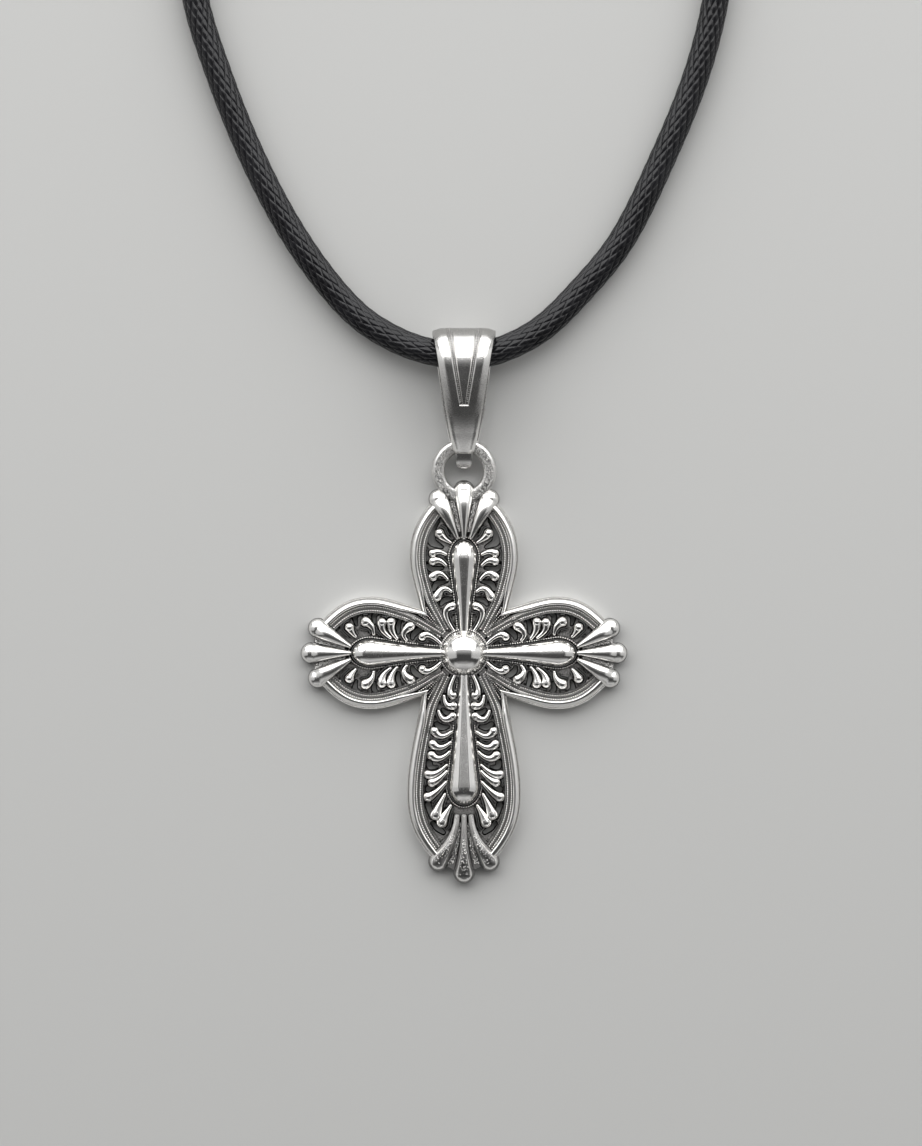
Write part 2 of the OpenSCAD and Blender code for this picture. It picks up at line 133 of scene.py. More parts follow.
GAPS = {"top": TOP_GAPS, "right": SIDE_GAPS, "left": SIDE_GAPS, "foot": FOOT_GAPS}

# The bail from the front: place along Y and half the width
FRONT_OUTLINE = [(33.3, 3.85), (31.8, 3.5), (28, 2.9), (23.4, 2.15), (19.7, 1.5), (18.6, 1.25), (18.4, 1.15)]
STRAP_OUTLINE = [(33.3, 3.8), (31.8, 3.5), (28, 3.1), (23.4, 2.5), (19.7, 1.75), (18.4, 1.0), (17.2, 0.95),
                 (16.3, 0.8)]
# The cord's middle line, from one end of the clasp round to the other
ROUTE = [
    (10, 190, 2.8), (19.5, 188.5, 2.3), (25.9, 184.1, 1.8), (29.7, 177.7, 1.6), (31.2, 170, 1.6),
    (31.2, 150, 1.6), (31.2, 130, 1.6), (31.2, 110, 1.6), (31.2, 92, 1.6), (31, 81.5, 1.6),
    (30.2, 72.8, 1.6), (27.9, 63.8, 1.6), (23.9, 53.9, 1.6), (18.9, 43.9, 1.6), (13.4, 37.2, 1.7),
    (9, 33.1, 2.2), (4, 30.6, 3), (0, 30, 3.05), (-4, 30.5, 3), (-8.2, 32, 2.3),
    (-12.7, 34.9, 1.7), (-17.2, 39.9, 1.6), (-21.7, 46.7, 1.6), (-25.8, 54.8, 1.6),
    (-29.4, 63.8, 1.6), (-32.2, 72.8, 1.6), (-33, 81.5, 1.6), (-33, 92, 1.6),
    (-33, 110, 1.6), (-33, 130, 1.6), (-33, 150, 1.6), (-33, 170, 1.6),
    (-31.5, 177.7, 1.6), (-27.9, 184.1, 1.8), (-21.5, 188.5, 2.3), (-12, 190, 2.8),
]

# Camera: straight above; its view is VIEW_H high at VIEW_Z above the floor
CAM_HEIGHT = 600
VIEW_H, VIEW_Z, VIEW_CENTRE = 137.52, 2, (-0.36, 4.0)
SENSOR_H = 24
camera = bpy.data.objects.new("camera", bpy.data.cameras.new("camera"))
camera.data.sensor_fit = "VERTICAL"
camera.data.sensor_height = SENSOR_H
camera.data.lens = SENSOR_H / 2 * (CAM_HEIGHT - VIEW_Z) / (VIEW_H / 2)
camera.data.clip_start = 0.01
camera.data.clip_end = 10
camera.location = (VIEW_CENTRE[0] * MM, VIEW_CENTRE[1] * MM, CAM_HEIGHT * MM)
bpy.context.scene.collection.objects.link(camera)
bpy.context.scene.camera = camera


# Curves in mm
def unit(a):
    return a / max(np.linalg.norm(a), 1e-9)


def clamp(x):
    return min(max(x, 0), 1)


def smooth_route(points, steps):
    """Hermite curve whose directions come from each point's two neighbours"""
    p = np.array(points, float)
    chord = np.linalg.norm(p[1:] - p[:-1], axis=1)
    heading = [np.array([1, 0, 0.0])]
    heading += [(p[i + 1] - p[i - 1]) / (chord[i] + chord[i - 1]) for i in range(1, len(p) - 1)]
    heading += [np.array([1, 0, 0.0])]
    out = []
    for i in range(len(p) - 1):
        n = steps(chord[i])
        for k in range(n):
            t = k / n
            out.append((2 * t**3 - 3 * t**2 + 1) * p[i] + (t**3 - 2 * t**2 + t) * chord[i] * heading[i]
                       + (3 * t**2 - 2 * t**3) * p[i + 1] + (t**3 - t**2) * chord[i] * heading[i + 1])
    return np.array(out + [p[-1]])


def resample(points, step):
    """The same line with points an even step apart"""
    p = np.array(points, float)
    s = np.concatenate([[0], np.cumsum(np.linalg.norm(p[1:] - p[:-1], axis=1))])
    n = max(int(round(s[-1] / step)), 2)
    at = np.linspace(0, s[-1], n + 1)
    return np.stack([np.interp(at, s, p[:, k]) for k in range(p.shape[1])], axis=1)


def relax(points, rounds):
    """The same line with its corners softened"""
    p = np.array(points, float)
    for _ in range(rounds):
        p[1:-1] = (p[:-2] + 2 * p[1:-1] + p[2:]) / 4
    return p


def normals(points):
    """Unit vectors that point to the right of the line's direction"""
    p = np.array(points, float)
    d = np.gradient(p, axis=0)
    d /= np.maximum(np.linalg.norm(d, axis=1, keepdims=True), 1e-9)
    return np.stack([d[:, 1], -d[:, 0]], axis=1)


def bezier(a, b, c, d, n):
    t = np.linspace(0, 1, n)[:, None]
    return (1 - t) ** 3 * a + 3 * (1 - t) ** 2 * t * b + 3 * (1 - t) * t * t * c + t**3 * d


def bow(a, ctrl, b, t):
    """Curve from a to b, drawn towards ctrl"""
    return (1 - t) ** 2 * a + 2 * t * (1 - t) * ctrl + t * t * b


def edge(arm):
    """Outer edge of half an arm, from the inner corner over the belly to the fan"""
    n = 36
    corner, belly, end = (np.array(p, float) for p in (arm.corner, arm.belly, arm.end))
    up, down = belly - corner, end - belly
    rise = bezier(corner, corner + up * (0.34, 0.4), belly - up * (0.34, 0), belly, n)
    fall = bezier(belly, belly + down * (0.45, 0), end - down * (0.28, 0.62), end, n)
    return np.concatenate([rise, fall[1:]])


def contour(axis, widths, extra=0.0, arc=10, closed=True, stretch=1.0):
    """The outline round a tapered shape: up its left side, round its tip, down its right and, where it is
    closed, round its root; stretch lengthens the tip"""
    axis, w = np.array(axis, float), np.maximum(np.array(widths, float) + extra, 0)
    n = normals(axis)
    left, right = axis - n * w[:, None], axis + n * w[:, None]
    ahead, back = np.array([-n[-1][1], n[-1][0]]), np.array([n[0][1], -n[0][0]])
    turn = np.linspace(0, PI, arc + 2)[1:-1, None]
    tip = axis[-1] + w[-1] * (-np.cos(turn) * n[-1] + stretch * np.sin(turn) * ahead)
    root = axis[0] + w[0] * (np.cos(turn) * n[0] + np.sin(turn) * back)
    return np.concatenate([left, tip, right[::-1]] + ([root] if closed else []))


# Meshes in mm
class Cast:
    """Collects shells, in an arm's place where placed isn't given, and makes one object of them"""

    def __init__(self):
        self.v, self.f, self.m = [], [], []
        self.turn, self.flip = 0.0, 1

    def at(self, turn, flip=1):
        """Which arm and which half of it the next shells are for"""
        self.turn, self.flip = math.radians(turn), flip

    def _put(self, p):
        p = np.array(p, float).reshape(-1, 3)
        u, v = p[:, 0], p[:, 1] * self.flip
        c, s = math.cos(self.turn), math.sin(self.turn)
        return np.stack([c * u - s * v, s * u + c * v + CROSS_Y, p[:, 2]], axis=1)

    def shell(self, points, faces, mat=0, closed=False, placed=False):
        """Faces turned outwards, or upwards where the shell is open"""
        p = np.array(points, float).reshape(-1, 3) if placed else self._put(points)
        tris = [(f[0], f[i], f[i + 1]) for f in faces for i in range(1, len(f) - 1)]
        t = p[np.array(tris)]
        area = np.cross(t[:, 1] - t[:, 0], t[:, 2] - t[:, 0])
        mean = t.mean(axis=(0, 1))
        sign = (area * (t.mean(axis=1) - mean)).sum() if closed else area[:, 2].sum()
        base = len(self.v)
        self.v.extend(map(tuple, p))
        self.f.extend([tuple(base + i for i in (f if sign > 0 else f[::-1])) for f in faces])
        self.m.extend([mat] * len(faces))

    def grid(self, rows, mat=0, loop=False, wrap=False, caps=False, placed=False):
        """Rows of points joined to each other; loop joins each row's ends, wrap the last row to the first,
        and caps fill the first and last rows"""
        rows = np.array(rows, float)
        a, b = rows.shape[:2]
        faces = []
        for i in range(a if wrap else a - 1):
            for k in range(b if loop else b - 1):
                j, q = (i + 1) % a, (k + 1) % b
                faces.append((i * b + k, i * b + q, j * b + q, j * b + k))
        if caps:
            faces.append(tuple(range(b))[::-1])
            faces.append(tuple((a - 1) * b + k for k in range(b)))
        self.shell(rows, faces, mat, closed=caps or wrap, placed=placed)

    def sweep(self, path, profile, mat=0, share=None, start=None):
        """A profile of inset and height along a line in the arm's plane; share scales both at each of its
        points, and start is the first inset's direction"""
        path, n = np.array(path, float), normals(path)
        if start is not None:
            n[0] = start
        share = np.ones((len(path), 2)) if share is None else np.array(share, float)
        rows = [[(p[0] + s[0] * o * q[0], p[1] + s[0] * o * q[1], z * s[1]) for o, z in profile]
                for p, q, s in zip(path, n, share)]
        self.grid(rows, mat, loop=True, caps=True)

    def ridge(self, path, r, z, h):
        """A thin half-round line that stands on height z"""
        arc = [(-r * math.cos(a), z + h * math.sin(a)) for a in np.linspace(0, PI, 6)]
        self.sweep(path, [(-r, z - LINE_SUNK)] + arc + [(r, z - LINE_SUNK)])

    def bead(self, x, y, z, r, h, placed=False):
        """A low bead on height z: three rows of corners and a top"""
        n = 6
        pts = [(x + r * k * math.cos(2 * PI * i / n), y + r * k * math.sin(2 * PI * i / n), z + h * g)
               for k, g in ((1.0, -0.2), (0.92, 0.45), (0.5, 0.88)) for i in range(n)]
        top = len(pts)
        pts.append((x, y, z + h))
        faces = [(j * n + i, j * n + (i + 1) % n, (j + 1) * n + (i + 1) % n, (j + 1) * n + i)
                 for j in range(2) for i in range(n)]
        faces += [(2 * n + i, 2 * n + (i + 1) % n, top) for i in range(n)]
        self.shell(pts, faces, placed=placed)

    def beads(self, path, step, r, z, h):
        for p in resample(path, step)[:-1]:
            self.bead(p[0], p[1], z, r, h)

    def dome(self, axis, widths, tops, foot, steep=66, mat=0, arc=10, rings=8, stretch=1.0, core=None):
        """A tapered dome on upright sides; its section is a round's cap whose edge leans by steep degrees.
        A core has a material, a share of the width and the material of the thin line round it."""
        axis, w, tops = np.array(axis, float), np.array(widths, float), np.array(tops, float)
        tall = np.concatenate([tops, [tops[-1]] * arc, tops[::-1], [tops[0]] * arc])
        wide = np.concatenate([w, [w[-1]] * arc, w[::-1], [w[0]] * arc])
        out = [[(p[0], p[1], foot) for p in contour(axis, w, arc=arc, stretch=stretch)]]
        edge_sin = math.sin(math.radians(steep))
        lean = list(np.linspace(math.radians(steep), 0, rings + 1))
        if core:
            core_lean = [math.asin(edge_sin * q) for q in (core[1], core[1] - 0.06)]
            lean = sorted([a for a in lean if min(abs(a - q) for q in core_lean) > 0.02] + core_lean,
                          reverse=True)
        for a in lean:
            line = contour(axis, math.sin(a) / edge_sin * w, arc=arc, stretch=stretch)
            drop = (1 - math.cos(a)) / edge_sin
            out.append([(p[0], p[1], t - drop * q) for p, t, q in zip(line, tall, wide)])
        out = np.array(out)
        a, b = out.shape[:2]
        faces = [(i * b + k, i * b + (k + 1) % b, (i + 1) * b + (k + 1) % b, (i + 1) * b + k)
                 for i in range(a - 1) for k in range(b)]
        faces.append(tuple(range(b))[::-1])
        first = len(self.m)
        self.shell(out, faces, mat, closed=True)
        if core:
            start = lean.index(core_lean[0])
            self.m[first + (start + 1) * b:first + (start + 2) * b] = [core[2]] * b
            self.m[first + (start + 2) * b:first + len(lean) * b] = [core[0]] * ((len(lean) - start - 2) * b)

    def lathe(self, profile, sides, mat=0):
        rows = [[(r * math.cos(2 * PI * i / sides), r * math.sin(2 * PI * i / sides), z)
                 for i in range(sides)] for r, z in profile]
        self.grid(rows, mat, loop=True)

    def make(self, name, mats, slot, sharp=50, back=None):
        """One object of the shells; back is the material of the faces on the floor"""
        mesh = bpy.data.meshes.new(name)
        mesh.from_pydata([tuple(c * MM for c in p) for p in self.v], [], self.f)
        for m in mats:
            mesh.materials.append(m)
        mesh.polygons.foreach_set("material_index", self.m)
        bm = bmesh.new()
        bm.from_mesh(mesh)
        bmesh.ops.remove_doubles(bm, verts=bm.verts, dist=2e-6)
        bmesh.ops.dissolve_degenerate(bm, edges=bm.edges, dist=1e-7)
        bm.to_mesh(mesh)
        bm.free()
        if back is not None:
            for face in mesh.polygons:
                if face.normal.z < -0.9 and face.center.z < 0.05 * MM:
                    face.material_index = back
        mesh.polygons.foreach_set("use_smooth", [True] * len(mesh.polygons))
        mesh.set_sharp_from_angle(angle=math.radians(sharp))
        obj = bpy.data.objects.new(name, mesh)
        bpy.context.scene.collection.objects.link(obj)
        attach(obj, "root")
        return obj


# Materials
def material(name):
    m = bpy.data.materials.new(name)
    m.use_nodes = True
    nt = m.node_tree
    return m, nt, nt.nodes["Principled BSDF"]


def node(nt, kind, **values):
    n = nt.nodes.new(kind)
    for k, v in values.items():
        if k in n.inputs:
            n.inputs[k].default_value = v
        else:
            setattr(n, k, v)
    return n


def ramp(nt, source, stops):
    r = nt.nodes.new("ShaderNodeValToRGB")
    while len(r.color_ramp.elements) < len(stops):
        r.color_ramp.elements.new(0.5)
    for e, (at, c) in zip(r.color_ramp.elements, stops):
        e.position = at
        e.color = (*c, 1) if isinstance(c, tuple) else (c, c, c, 1)
    nt.links.new(source, r.inputs["Fac"])
    return r.outputs["Color"]


def calc(nt, operation, *values, clamped=False):
    """A calculation on numbers and on other nodes' outputs"""
    n = node(nt, "ShaderNodeMath", operation=operation, use_clamp=clamped)
    for socket, value in zip(n.inputs, values):
        if isinstance(value, float):
            socket.default_value = value
        else:
            nt.links.new(value, socket)
    return n.outputs[0]


def spread(nt, source, low, high, to_low=0.0, to_high=1.0):
    """Maps the range from low to high to another range"""
    n = nt.nodes.new("ShaderNodeMapRange")
    nt.links.new(source, n.inputs["Value"])
    for key, value in (("From Min", low), ("From Max", high), ("To Min", to_low), ("To Max", to_high)):
        n.inputs[key].default_value = value
    return n.outputs["Result"]


def along_y(nt, place):
    split = nt.nodes.new("ShaderNodeSeparateXYZ")
    nt.links.new(place, split.inputs[0])
    return split.outputs["Y"]


OXIDE_ROUGHER = 0.35


def silver(name, tone, dark, rough, dirt, pits, reach, shade_by_y=None, rugged=0.003):
    """Cast silver, dark with oxidation in its hollows. rough is its lowest and highest roughness, dirt how
    open a place is where it's all dark and where it's clean, pits the share of fine pits, reach how far a
    hollow is looked for, shade_by_y the painted shade along Y as places and how dark each is, and rugged the
    pits' depth."""
    m, nt, bsdf = material(name)
    link = nt.links.new
    place = nt.nodes.new("ShaderNodeTexCoord").outputs["Object"]
    fine = node(nt, "ShaderNodeTexNoise", Scale=8500.0, Detail=3.0, Roughness=0.6)
    wide = node(nt, "ShaderNodeTexNoise", Scale=420.0, Detail=4.0, Roughness=0.65)
    for n in (fine, wide):
        link(place, n.inputs["Vector"])
    hollow = node(nt, "ShaderNodeAmbientOcclusion", Distance=reach * MM)
    hollow.samples = 8
    tarnished = ramp(nt, hollow.outputs["AO"], [(dirt[0], 1.0), (dirt[1], 0.0)])
    spots = ramp(nt, fine.outputs["Fac"], [(0.35, 0.75), (0.62, 0.0)])
    darkness = calc(nt, "MULTIPLY_ADD", spots, pits, tarnished, clamped=True)
    # Painted shade along Y: bands of darkness, with grain, that stand in for dark reflections
    if shade_by_y:
        low, high = shade_by_y[0][0], shade_by_y[-1][0]
        at = spread(nt, along_y(nt, place), low * MM, high * MM)
        band = ramp(nt, at, [((y - low) / (high - low), share) for y, share in shade_by_y])
        speck = ramp(nt, fine.outputs["Fac"], [(0.35, 1.0), (0.65, 0.7)])
        darkness = calc(nt, "ADD", darkness, calc(nt, "MULTIPLY", band, speck), clamped=True)
    mix = nt.nodes.new("ShaderNodeMix")
    mix.data_type = "RGBA"
    mix.inputs["A"].default_value = (*tone, 1)
    mix.inputs["B"].default_value = (*dark, 1)
    link(darkness, mix.inputs["Factor"])
    link(mix.outputs["Result"], bsdf.inputs["Base Color"])
    bsdf.inputs["Metallic"].default_value = 1.0
    gloss = spread(nt, wide.outputs["Fac"], 0.3, 0.7, *rough)
    link(calc(nt, "MULTIPLY_ADD", darkness, OXIDE_ROUGHER, gloss), bsdf.inputs["Roughness"])
    bump = node(nt, "ShaderNodeBump", Strength=1.0, Distance=rugged * MM * (1 + 5 * pits))
    link(fine.outputs["Fac"], bump.inputs["Height"])
    link(bump.outputs["Normal"], bsdf.inputs["Normal"])
    return m


BRIGHT, TARNISH = (0.90, 0.89, 0.87), (0.10, 0.095, 0.09)
# Painted shade on the bail's strap: places along Y and how dark each is there, standing in for shade and dark
# reflections on its roll, front and foot
STRAP_PAINTED_SHADE = [(16, 0.3), (18, 0.3), (18.6, 0.0), (20.8, 0.0), (23, 0.5), (26.5, 0.5), (29.3, 0.0),
              (31.6, 0.0), (32.3, 0.5), (34, 0.65)]
polished = silver("silver_polished", BRIGHT, TARNISH, (0.07, 0.14), (0.15, 0.45), 0.12, 0.3)
satin = silver("silver_satin", BRIGHT, TARNISH, (0.15, 0.22), (0.15, 0.45), 0.15, 0.3)
beaded = silver("silver_beaded", (0.93, 0.92, 0.90), TARNISH, (0.1, 0.18), (0.25, 0.60), 0.1, 0.2)
stippled = silver("silver_stippled", (0.42, 0.41, 0.40), (0.015, 0.0145, 0.014), (0.26, 0.4), (0.3, 0.85),
                  0.9, 0.4)
strap = silver("silver_strap", BRIGHT, TARNISH, (0.07, 0.13), (0.25, 0.55), 0.14, 0.3, STRAP_PAINTED_SHADE, 0.007)
matt = silver("silver_cast", (0.88, 0.87, 0.85), TARNISH, (0.2, 0.3), (0.3, 0.75), 0.6, 0.25)
channel = silver("silver_channel", (0.84, 0.83, 0.81), (0.06, 0.058, 0.055), (0.25, 0.36), (0.1, 0.45), 0.45,
                 0.25)
# Painted shade: dark silver for lobe outlines, foot-lobe middles, the lip round the round boss and thin
# groove lines, where shade falls
shade = silver("silver_shade", (0.30, 0.295, 0.29), (0.03, 0.029, 0.028), (0.25, 0.35), (0.15, 0.6), 0.4, 0.2)
speckled = silver("silver_speckled", BRIGHT, (0.06, 0.058, 0.056), (0.14, 0.22), (0.6, 0.8), 0.35, 0.2)
pitted = silver("silver_pitted", (0.55, 0.54, 0.53), (0.03, 0.029, 0.028), (0.2, 0.3), (0.5, 0.8), 0.5, 0.25)
# Oxide and painted shade: near-black silver on the walls and ledges round the plate's gaps, where shade falls
oxide_and_painted_shade = silver("silver_oxide_and_painted_shade", (0.035, 0.034, 0.033), (0.01, 0.01, 0.01), (0.5, 0.7), (0.25, 0.80), 0.8, 0.5)


def cord_material():
    m, nt, bsdf = material("cord_waxed")
    link = nt.links.new
    place = nt.nodes.new("ShaderNodeTexCoord").outputs["Object"]
    fibre = node(nt, "ShaderNodeTexNoise", Scale=3800.0, Detail=4.0, Roughness=0.6)
    wear = node(nt, "ShaderNodeTexNoise", Scale=260.0, Detail=3.0)
    for n in (fibre, wear):
        link(place, n.inputs["Vector"])
    link(ramp(nt, wear.outputs["Fac"], [(0.3, (0.004, 0.004, 0.005)), (0.75, (0.012, 0.012, 0.014))]),
         bsdf.inputs["Base Color"])
    link(ramp(nt, fibre.outputs["Fac"], [(0.3, 0.09), (0.7, 0.2)]), bsdf.inputs["Roughness"])
    bsdf.inputs["IOR"].default_value = 1.55
    bsdf.inputs["Specular IOR Level"].default_value = 0.32
    bump = node(nt, "ShaderNodeBump", Strength=1.0, Distance=0.01 * MM)
    link(fibre.outputs["Fac"], bump.inputs["Height"])
    link(bump.outputs["Normal"], bsdf.inputs["Normal"])
    return m


# Cord: how far its cracks are inside its radius, and how high its plaits stand in them
CRACK_DEPTH, PLAIT_H = 0.075, 0.09


def braided_cord():
    """A round braid of flat plaits: lozenges with cracks between them, longer than wide"""
    strands, plait_len, fine, sag = 12, 2.1, 3, 0.32
    around, step = strands * 2 * fine, plait_len / (2 * fine)
    line = resample(smooth_route(ROUTE, lambda chord: max(int(chord / 0.5), 4)), step)
    ahead = np.gradient(line, axis=0)
    ahead[0] = ahead[-1] = (1, 0, 0)
    ahead /= np.linalg.norm(ahead, axis=1, keepdims=True)
    side = np.cross(ahead, (0, 0, 1.0))
    side /= np.linalg.norm(side, axis=1, keepdims=True)
    up = np.cross(side, ahead)
    i = np.arange(len(line))[:, None]
    k = np.arange(around)[None, :]
    a, b = (k + i) % (2 * fine) / (2 * fine), (k - i) % (2 * fine) / (2 * fine)
    da, db = 2 * np.abs(a - 0.5), 2 * np.abs(b - 0.5)
    plait = (1 - da**8) * (1 - db**8) * (1 - sag * da**2) * (1 - sag * db**2)
    r = CORD_D / 2 - CRACK_DEPTH + PLAIT_H * plait
    turn = 2 * PI * k / around
    rows = line[:, None, :] + r[..., None] * (np.cos(turn)[..., None] * side[:, None, :]
                                            + np.sin(turn)[..., None] * up[:, None, :])
    faces = []
    for m in range(len(line) - 1):
        for n in range(around):
            q = (n + 1) % around
            v00, v01 = m * around + n, m * around + q
            v10, v11 = v00 + around, v01 + around
            if r[m, n] + r[m + 1, q] < r[m, q] + r[m + 1, n]:
                faces += [(v00, v01, v11), (v00, v11, v10)]
            else:
                faces += [(v00, v01, v10), (v01, v11, v10)]
    last = (len(line) - 1) * around
    faces += [tuple(range(around))[::-1], tuple(last + n for n in range(around))]
    c = Cast()
    c.shell(rows, faces, closed=True, placed=True)
    return c.make("cord_braid", [cord_material()], "black_cord", sharp=38), line


cord, cord_line = braided_cord()
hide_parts("cord")
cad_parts["clasp"].data.materials.clear()
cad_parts["clasp"].data.materials.append(polished)


# Cross: the plate's two layers, with their bottom, top and how much narrower their gaps are; the lower one
# shows as a ledge round each gap, in oxide and painted shade
PLATE_LAYERS = ((0.3, PLATE_T, -GAP_RIM), (0, 0.3, 0.04))
# Its outline: the corner, how far inside the rim's edge it runs, and its last step from there, under the fan
PLATE_CORNER, PLATE_INSET, UNDER_FAN = (4.95, 4.95), 0.03, (0.4, -1.2)


def plate(arm, gaps, low, high, narrow):
    """An arm's pierced plate between two heights, as a filled curve"""
    line = edge(arm)
    n = normals(line)
    half = np.concatenate([[PLATE_CORNER], (line + PLATE_INSET * n)[2:], [line[-1] + UNDER_FAN]])
    outline = np.concatenate([[(0, 0)], half, half[::-1] * (1, -1)])
    holes = []
    for chain in gaps:
        axis = np.array([p for p, _ in chain], float)
        widths = np.array([r - narrow for _, r in chain], float)
        both = relax(resample(np.concatenate([axis, widths[:, None]], axis=1), 0.12), 6)
        hole = contour(both[:, :2], both[:, 2], arc=8)
        holes += [hole, hole * (1, -1)]
    curve = bpy.data.curves.new("plate", "CURVE")
    curve.dimensions = "2D"
    curve.fill_mode = "BOTH"
    curve.extrude = (high - low) / 2 * MM
    for pts in [outline] + holes:
        spline = curve.splines.new("POLY")
        spline.points.add(len(pts) - 1)
        for q, p in zip(spline.points, pts):
            q.co = (p[0] * MM, p[1] * MM, 0, 1)
        spline.use_cyclic_u = True
    obj = bpy.data.objects.new("plate", curve)
    bpy.context.scene.collection.objects.link(obj)
    mesh = bpy.data.meshes.new_from_object(obj.evaluated_get(bpy.context.evaluated_depsgraph_get()))
    bpy.data.objects.remove(obj)
    up = Matrix.Translation((0, CROSS_Y * MM, (low + high) / 2 * MM))
    mesh.transform(up @ Matrix.Rotation(math.radians(arm.turn), 4, "Z"))
    return mesh


def joined(name, meshes, mats):
    bm = bmesh.new()
    for m in meshes:
        bm.from_mesh(m)
    mesh = bpy.data.meshes.new(name)
    bm.to_mesh(mesh)
    bm.free()
    for m in mats:
        mesh.materials.append(m)
    obj = bpy.data.objects.new(name, mesh)
    bpy.context.scene.collection.objects.link(obj)
    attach(obj, "root")
    return obj


cross_plate = joined("cross_plate", [plate(ARMS[k], GAPS[k], *layer) for k in ARMS for layer in PLATE_LAYERS],
                     [stippled, oxide_and_painted_shade, matt])
# Oxide and painted shade on its sides and ledges, and matt below
for face in cross_plate.data.polygons:
    face.material_index = int(abs(face.normal.z) < 0.5 or 0.1 * MM < face.center.z < 0.5 * MM)
    if face.normal.z < -0.5 and face.center.z < 0.1 * MM:
        face.material_index = 2
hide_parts("cross")

# Cross: the raised parts
# The rim's polished band, as inset and height, from its outer foot over its crest to its inner foot
BAND = [(0, 0.02), (0, 1.36), (0.03, 1.48), (0.08, 1.53), (0.13, 1.51), (0.17, 1.47), (0.2, 1.56),
        (0.3, 1.74), (0.42, 1.88), (0.56, 1.98), (0.7, 2.03), (0.82, 2.03), (0.91, 1.97), (0.96, 1.84),
        (0.98, 1.6), (0.98, 0.02)]
# The channel beside it, and the webs in the cross's corners
CHANNEL_Z, CHANNEL_MID = 1.36, 1.5
CHANNEL = [(0.85, CHANNEL_Z), (1.95, CHANNEL_Z), (1.95, SUNK_Z), (0.85, SUNK_Z)]
WEB_Z = 1.3
WEB = [(-1, SUNK_Z), (-1, WEB_Z), (1, WEB_Z), (1, SUNK_Z)]
# Inset, how far a line spreads at the round boss and how many of its points it keeps; then a line's half
# width, z and height, or the step, radius, z and height of beads
RIM_LINES = [(1.35, 0.85, None, 0.06, CHANNEL_Z, 0.3), (0.85, 0.1, 14, 0.07, WEB_Z, 0.34),
             (1.85, 1.85, None, 0.1, CHANNEL_Z, 0.42)]
RIM_BEADS = [(0.5, -0.2, 14, 0.28, 0.13, WEB_Z, 0.26), (1.13, 0.35, None, 0.27, 0.145, CHANNEL_Z, 0.2),
             (1.6, 1.35, None, 0.28, 0.15, CHANNEL_Z, 0.22)]
# A rib's outlines: where on it they start, their distance, half width and height
RIB_LINES = ((0, 0.21, 0.095, 0.72), (4, 0.44, 0.08, 0.5))
MID_LOBE_R, SIDE_LOBE_R, SIDE_ROOT = 1.26, 1.19, 0.85
WEDGE_Z, WEDGE_BEADS = 1.25, 260
# The lip round the round boss, in painted shade, as radius and height
LIP = [(3.0, 0.9), (3.0, 1.4), (2.94, 1.48), (2.78, 1.48), (2.72, 1.4), (2.7, 1.0)]
LIP_BEADS, LIP_MID = 66, 2.86
rims, beads, ribs, bosses, fans = Cast(), Cast(), Cast(), Cast(), Cast()


def from_segment(p, a, b):
    """How far a point is from the line between two others"""
    share = clamp(np.dot(p - a, b - a) / np.dot(b - a, b - a))
    return np.linalg.norm(p - a - (b - a) * share)


def clear_of_gaps(path, chains):
    """The runs of a line that don't cross a chain of rounds"""
    pairs = [((np.array(a, float), ra), (np.array(b, float), rb))
             for chain in chains for (a, ra), (b, rb) in zip(chain, chain[1:])]
    runs, run = [], []
    for p in path:
        if min(from_segment(p, a, b) - max(ra, rb) for (a, ra), (b, rb) in pairs) < GAP_RIM + 0.05:
            runs, run = runs + [run], []
        else:
            run.append(p)
    return [np.array(r) for r in runs + [run] if len(r) > 2]


def rim_line(line, inset, spread_out):
    """A line beside the edge that runs on to the round boss and under the fan"""
    q = line + inset * normals(line)
    toward = np.array([2.45, 2.45]) + spread_out * np.array([0.35, -0.35])
    under = q[-1] + 1.1 * unit(q[-1] - q[-3])
    return relax(resample(np.concatenate([[toward], q[3:], [under]]), 0.3), 12)


def web(corner):
    """The flat in the corner between two arms, with a beaded leaf on it"""
    strip = resample([(1.5, 1.5), corner * 0.99], 0.3)
    wide = np.interp(np.linspace(0, 1, len(strip)), (0, 0.75, 1), (0.35, 1.0, 0.15))
    rims.sweep(strip, WEB, mat=1, share=[(w, 1) for w in wide])
    t = np.linspace(0, 1, 14)[:, None]
    leaf = (1 - t) * (2.5, 2.5) + t * corner * 0.9
    rims.ridge(contour(leaf, np.linspace(0.08, 0.3, 14), closed=False), 0.075, WEB_Z, 0.42)
    beads.beads(leaf[3:], 0.27, 0.12, WEB_Z, 0.24)


def rim(arm, with_web):
    """The rim of half an arm: its band is mitred at the corner and tucked under the fan"""
    line, corner, step = edge(arm), np.array(arm.corner, float), 0.15
    path = relax(resample(np.concatenate([line, [np.array(arm.side_tip) + (-0.25, 0.65)]]), step), 3)
    gone = np.arange(len(path)) * step
    ahead, inwards = unit(path[1] - path[0]), -unit(corner)
    mitre = inwards / abs(ahead[0] * inwards[1] - ahead[1] * inwards[0])
    share = np.stack([np.interp(gone, (0, 3), (0.6, 1)), np.interp(gone, (0, 2), (0.9, 1))], axis=1)
    rims.sweep(path, BAND, share=share, start=mitre)
    if with_web:
        web(corner)
    rims.sweep(rim_line(line, CHANNEL_MID, 1.0), [(o - CHANNEL_MID, z) for o, z in CHANNEL], mat=2)
    for inset, out, count, *sizes in RIM_LINES:
        rims.ridge(rim_line(line, inset, out)[:count], *sizes)
    for inset, out, count, *sizes in RIM_BEADS:
        beads.beads(rim_line(line, inset, out)[:count], *sizes)


